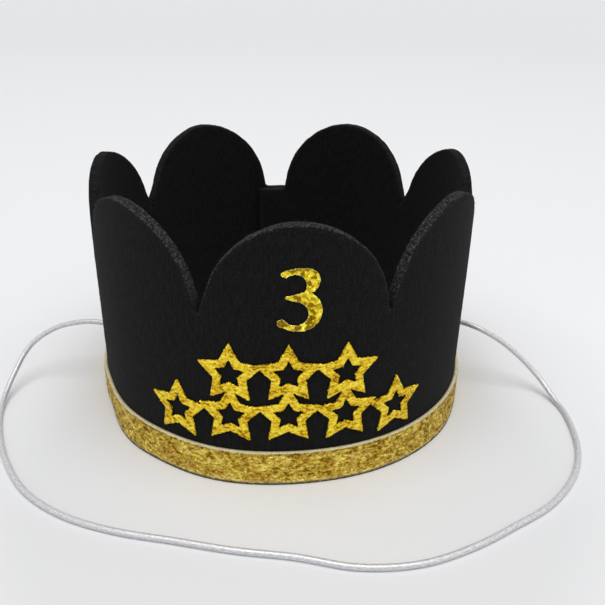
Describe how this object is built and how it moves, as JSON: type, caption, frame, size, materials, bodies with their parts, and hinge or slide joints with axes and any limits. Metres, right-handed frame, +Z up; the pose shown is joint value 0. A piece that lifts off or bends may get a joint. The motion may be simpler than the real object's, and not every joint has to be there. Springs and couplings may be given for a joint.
{
  "type": "party hat",
  "caption": "Open scalloped felt party crown with a glitter ribbon, a foil numeral, a star garland and an elastic chin cord.",
  "frame": {"origin": "centre of the felt ring on the surface it stands on", "axes": "+Z up along the ring's axis, -Y towards the numeral on the front, +X to the right as seen from the front"},
  "size_m": [0.1689, 0.1443, 0.07],
  "materials": {
    "felt": "matt, with short loose fibres",
    "glitter_ribbon": "fine gold glitter",
    "foil": "faceted gold foil",
    "glitter_card": "coarse gold glitter",
    "elastic": "braided, with a metallic thread"
  },
  "bodies": {
    "root": {"felt_crown": "felt", "glitter_ribbon": "glitter_ribbon", "numeral_three": "foil", "star_garland": "glitter_card", "chin_cord": "elastic", "left_knot": "elastic", "right_knot": "elastic"}
  },
  "joints": []
}
